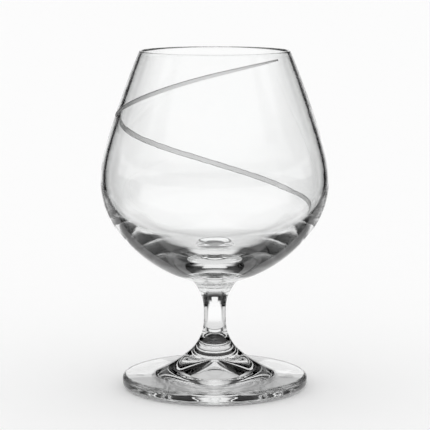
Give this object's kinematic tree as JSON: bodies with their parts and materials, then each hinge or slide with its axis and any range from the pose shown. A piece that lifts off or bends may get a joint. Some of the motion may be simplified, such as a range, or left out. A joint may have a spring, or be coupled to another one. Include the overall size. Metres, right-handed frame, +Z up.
{
  "type": "brandy snifter",
  "caption": "Clear glass brandy snifter: round bowl narrowing to the mouth, short waisted stem, round foot, and a satin ground line winding down round the bowl.",
  "frame": {"origin": "centre of the foot's resting ring, on the table", "axes": "+Z up along the axis of the glass, -Y towards the viewer of the picture, +X to the viewer's right"},
  "size_m": [0.096, 0.096, 0.142],
  "materials": {
    "glass": "clear polished glass, with a satin ground line on the outside of the bowl"
  },
  "bodies": {
    "root": {"bowl": "glass", "stem": "glass", "foot": "glass"}
  },
  "joints": []
}
